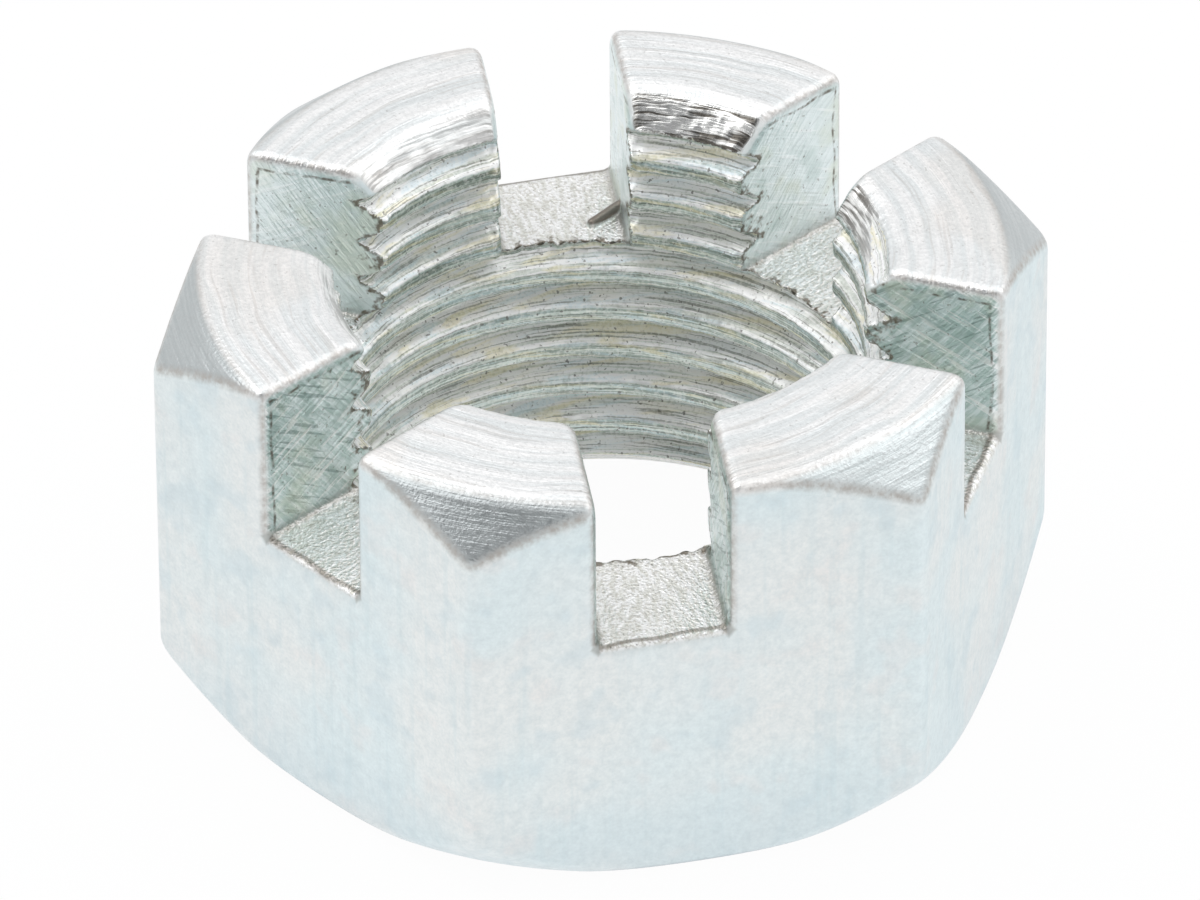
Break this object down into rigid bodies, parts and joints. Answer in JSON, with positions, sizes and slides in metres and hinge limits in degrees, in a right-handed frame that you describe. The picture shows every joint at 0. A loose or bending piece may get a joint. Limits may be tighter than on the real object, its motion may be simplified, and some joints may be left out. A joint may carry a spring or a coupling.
{
  "type": "castle nut",
  "caption": "Hexagon nut with a slotted crown: cotter-pin cuts cross the threaded bore and split its top into upright merlons. Bright zinc-plated steel.",
  "frame": {"origin": "centre of the flat bearing face, on the thread axis", "axes": "+Z along the thread axis, from the bearing face towards the slotted crown; one pair of hexagon flats faces -Y and +Y, and one slot runs straight along Y"},
  "size_m": [0.031, 0.027, 0.0155],
  "materials": {
    "zinc_plate": "bright blue-white zinc plate over machined steel, lightly tumbled"
  },
  "bodies": {
    "root": {"castle_nut": "zinc_plate"}
  },
  "joints": []
}
